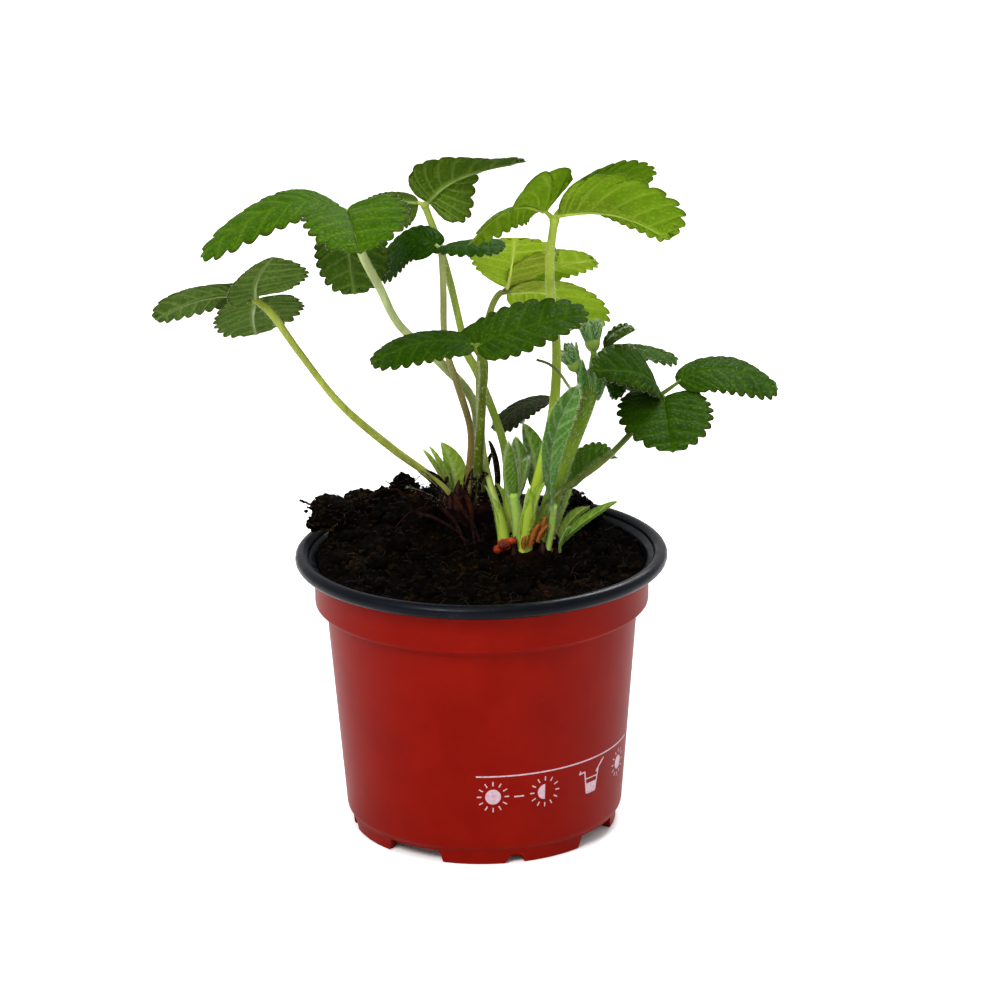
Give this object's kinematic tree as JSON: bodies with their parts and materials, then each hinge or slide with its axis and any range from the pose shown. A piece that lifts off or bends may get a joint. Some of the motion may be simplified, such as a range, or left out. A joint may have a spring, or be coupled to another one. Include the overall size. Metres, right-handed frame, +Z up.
{
  "type": "potted strawberry plant",
  "caption": "Young strawberry plant in peat in a round nursery pot with a rolled lip: toothed compound leaves on long stalks, folded young leaves, and a shoot with buds.",
  "frame": {"origin": "middle of the object's outline in plan, on the ground under the pot; this is the pot's axis within one millimetre", "axes": "+Z up along the pot's axis, -Y towards the side that faces the camera, +X to the right seen from there"},
  "size_m": [0.1998, 0.1203, 0.2214],
  "materials": {
    "pot": "satin",
    "peat": "matte",
    "crown_left": "matte",
    "crown_right": "matte",
    "leaf_left_stalk": "satin",
    "leaf_left_blades": "satin",
    "leaf_upper_left_stalk": "satin",
    "leaf_upper_left_blades": "satin",
    "leaf_top_stalk": "satin",
    "leaf_top_blades": "satin",
    "leaf_dark_stalk": "satin",
    "leaf_dark_blades": "satin",
    "leaf_front_stalk": "satin",
    "leaf_front_blades": "satin",
    "leaf_pale_stalk": "satin",
    "leaf_pale_blades": "satin",
    "leaf_upper_right_stalk": "satin",
    "leaf_upper_right_blades": "satin",
    "leaf_right_stalk": "satin",
    "leaf_right_blades": "satin",
    "leaf_low_stalk": "satin",
    "leaf_low_blades": "satin",
    "shoot_stalk": "satin",
    "shoot_leaf_folded": "satin",
    "shoot_leaf_dark": "satin",
    "bud_upper": "matte",
    "bud_lower": "matte",
    "young_leaf_middle": "matte",
    "young_leaf_back": "matte",
    "young_leaf_right": "matte",
    "hairy_sheath": "matte",
    "stipules_left": "matte",
    "bract_long": "matte",
    "bract_wide": "matte",
    "bract_low": "matte",
    "dry_stipule": "matte",
    "dry_bract": "matte",
    "young_runner": "satin"
  },
  "bodies": {
    "root": {"pot": "pot", "peat": "peat", "crown_left": "crown_left", "crown_right": "crown_right", "leaf_left_stalk": "leaf_left_stalk", "leaf_left_blades": "leaf_left_blades", "leaf_upper_left_stalk": "leaf_upper_left_stalk", "leaf_upper_left_blades": "leaf_upper_left_blades", "leaf_top_stalk": "leaf_top_stalk", "leaf_top_blades": "leaf_top_blades", "leaf_dark_stalk": "leaf_dark_stalk", "leaf_dark_blades": "leaf_dark_blades", "leaf_front_stalk": "leaf_front_stalk", "leaf_front_blades": "leaf_front_blades", "leaf_pale_stalk": "leaf_pale_stalk", "leaf_pale_blades": "leaf_pale_blades", "leaf_upper_right_stalk": "leaf_upper_right_stalk", "leaf_upper_right_blades": "leaf_upper_right_blades", "leaf_right_stalk": "leaf_right_stalk", "leaf_right_blades": "leaf_right_blades", "leaf_low_stalk": "leaf_low_stalk", "leaf_low_blades": "leaf_low_blades", "shoot_stalk": "shoot_stalk", "shoot_leaf_folded": "shoot_leaf_folded", "shoot_leaf_dark": "shoot_leaf_dark", "bud_upper": "bud_upper", "bud_lower": "bud_lower", "young_leaf_middle": "young_leaf_middle", "young_leaf_back": "young_leaf_back", "young_leaf_right": "young_leaf_right", "hairy_sheath": "hairy_sheath", "stipules_left": "stipules_left", "bract_long": "bract_long", "bract_wide": "bract_wide", "bract_low": "bract_low", "dry_stipule": "dry_stipule", "dry_bract": "dry_bract", "young_runner": "young_runner"}
  },
  "joints": []
}
